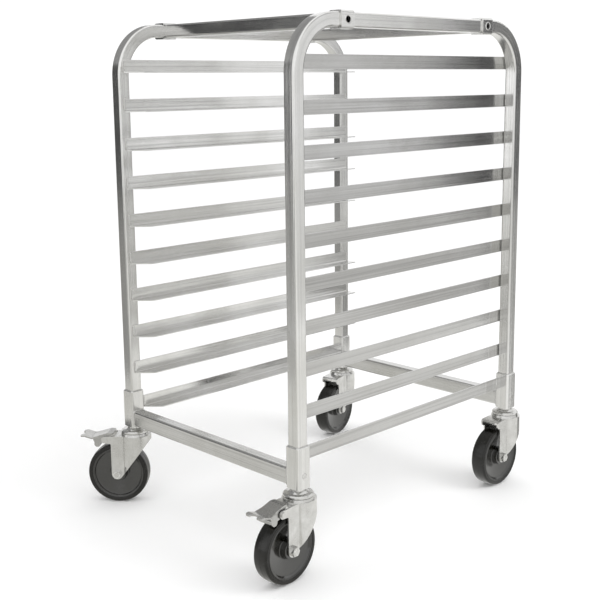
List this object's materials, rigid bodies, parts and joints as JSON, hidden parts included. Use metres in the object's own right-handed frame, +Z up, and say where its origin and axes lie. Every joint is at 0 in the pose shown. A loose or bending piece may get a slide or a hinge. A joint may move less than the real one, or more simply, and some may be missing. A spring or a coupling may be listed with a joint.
{
  "type": "sheet pan rack",
  "caption": "Open aluminium bakery rack: two bent square-tube hoops joined by crossbars, angle runners for sheet pans, and swivel casters with brake pedals at the front.",
  "frame": {"origin": "on the floor, at the middle of the tube frame, under the crossing of its diagonals", "axes": "+X to the rack's right, -Y its front with the braked casters, +Z up"},
  "size_m": [0.6164, 0.781, 0.9882],
  "materials": {
    "frame_aluminium": "mill finish, fine lengthwise brushing, satin",
    "runner_aluminium": "extruded mill finish, satin",
    "zinc_steel": "bright zinc plating",
    "bearing_steel": "polished hardened steel",
    "wheel_plastic": "moulded, semi-gloss",
    "tyre_rubber": "smooth cured rubber, semi-gloss"
  },
  "bodies": {
    "frame": {"left_hoop": "frame_aluminium", "right_hoop": "frame_aluminium", "runner_left_01": "runner_aluminium", "runner_left_02": "runner_aluminium", "runner_left_03": "runner_aluminium", "runner_left_04": "runner_aluminium", "runner_left_05": "runner_aluminium", "runner_left_06": "runner_aluminium", "runner_left_07": "runner_aluminium", "runner_left_08": "runner_aluminium", "runner_left_09": "runner_aluminium", "runner_left_10": "runner_aluminium", "runner_right_01": "runner_aluminium", "runner_right_02": "runner_aluminium", "runner_right_03": "runner_aluminium", "runner_right_04": "runner_aluminium", "runner_right_05": "runner_aluminium", "runner_right_06": "runner_aluminium", "runner_right_07": "runner_aluminium", "runner_right_08": "runner_aluminium", "runner_right_09": "runner_aluminium", "runner_right_10": "runner_aluminium", "top_front_crossbar": "frame_aluminium", "top_rear_crossbar": "frame_aluminium", "bottom_front_crossbar": "frame_aluminium", "bottom_rear_crossbar": "frame_aluminium", "corner_sleeve_front_left": "frame_aluminium", "corner_sleeve_front_right": "frame_aluminium", "corner_sleeve_rear_left": "frame_aluminium", "corner_sleeve_rear_right": "frame_aluminium", "top_saddles": "frame_aluminium", "crossbar_inserts": "zinc_steel", "crossbar_screws": "bearing_steel", "stem_expanders": "zinc_steel", "swivel_balls": "bearing_steel", "stem_front_left": "zinc_steel", "stem_front_right": "zinc_steel", "stem_rear_left": "zinc_steel", "stem_rear_right": "zinc_steel"},
    "swivel_front_left": {"fork_front_left": "zinc_steel", "axle_front_left": "zinc_steel", "brake_pin_front_left": "zinc_steel"},
    "wheel_front_left": {"wheel_core_front_left": "wheel_plastic", "tyre_front_left": "tyre_rubber"},
    "pedal_front_left": {"brake_pedal_front_left": "zinc_steel"},
    "swivel_front_right": {"fork_front_right": "zinc_steel", "axle_front_right": "zinc_steel", "brake_pin_front_right": "zinc_steel"},
    "wheel_front_right": {"wheel_core_front_right": "wheel_plastic", "tyre_front_right": "tyre_rubber"},
    "pedal_front_right": {"brake_pedal_front_right": "zinc_steel"},
    "swivel_rear_left": {"fork_rear_left": "zinc_steel", "axle_rear_left": "zinc_steel"},
    "wheel_rear_left": {"wheel_core_rear_left": "wheel_plastic", "tyre_rear_left": "tyre_rubber"},
    "swivel_rear_right": {"fork_rear_right": "zinc_steel", "axle_rear_right": "zinc_steel"},
    "wheel_rear_right": {"wheel_core_rear_right": "wheel_plastic", "tyre_rear_right": "tyre_rubber"}
  },
  "joints": [
    {"name": "swivel_turn_front_left", "type": "hinge", "parent": "frame", "child": "swivel_front_left", "pos_m": [-0.24447, -0.3175, 0.1515], "axis": [0, 0, 1], "continuous": true},
    {"name": "wheel_spin_front_left", "type": "hinge", "parent": "swivel_front_left", "child": "wheel_front_left", "pos_m": [-0.27165, -0.34112, 0.0635], "axis": [0.6561, -0.7547, 0], "continuous": true},
    {"name": "pedal_press_front_left", "type": "hinge", "parent": "swivel_front_left", "child": "pedal_front_left", "pos_m": [-0.28976, -0.35686, 0.1375], "axis": [0.6561, -0.7547, 0], "range_deg": [0, 15]},
    {"name": "swivel_turn_front_right", "type": "hinge", "parent": "frame", "child": "swivel_front_right", "pos_m": [0.24447, -0.3175, 0.1515], "axis": [0, 0, 1], "continuous": true},
    {"name": "wheel_spin_front_right", "type": "hinge", "parent": "swivel_front_right", "child": "wheel_front_right", "pos_m": [0.24573, -0.35348, 0.0635], "axis": [0.9994, 0.0349, 0], "continuous": true},
    {"name": "pedal_press_front_right", "type": "hinge", "parent": "swivel_front_right", "child": "pedal_front_right", "pos_m": [0.24657, -0.37746, 0.1375], "axis": [0.9994, 0.0349, 0], "range_deg": [0, 15]},
    {"name": "swivel_turn_rear_left", "type": "hinge", "parent": "frame", "child": "swivel_rear_left", "pos_m": [-0.24447, 0.3175, 0.1515], "axis": [0, 0, 1], "continuous": true},
    {"name": "wheel_spin_rear_left", "type": "hinge", "parent": "swivel_rear_left", "child": "wheel_rear_left", "pos_m": [-0.23761, 0.28216, 0.0635], "axis": [0.9816, 0.1908, 0], "continuous": true},
    {"name": "swivel_turn_rear_right", "type": "hinge", "parent": "frame", "child": "swivel_rear_right", "pos_m": [0.24447, 0.3175, 0.1515], "axis": [0, 0, 1], "continuous": true},
    {"name": "wheel_spin_rear_right", "type": "hinge", "parent": "swivel_rear_right", "child": "wheel_rear_right", "pos_m": [0.24447, 0.2815, 0.0635], "axis": [1, 0, 0], "continuous": true}
  ]
}
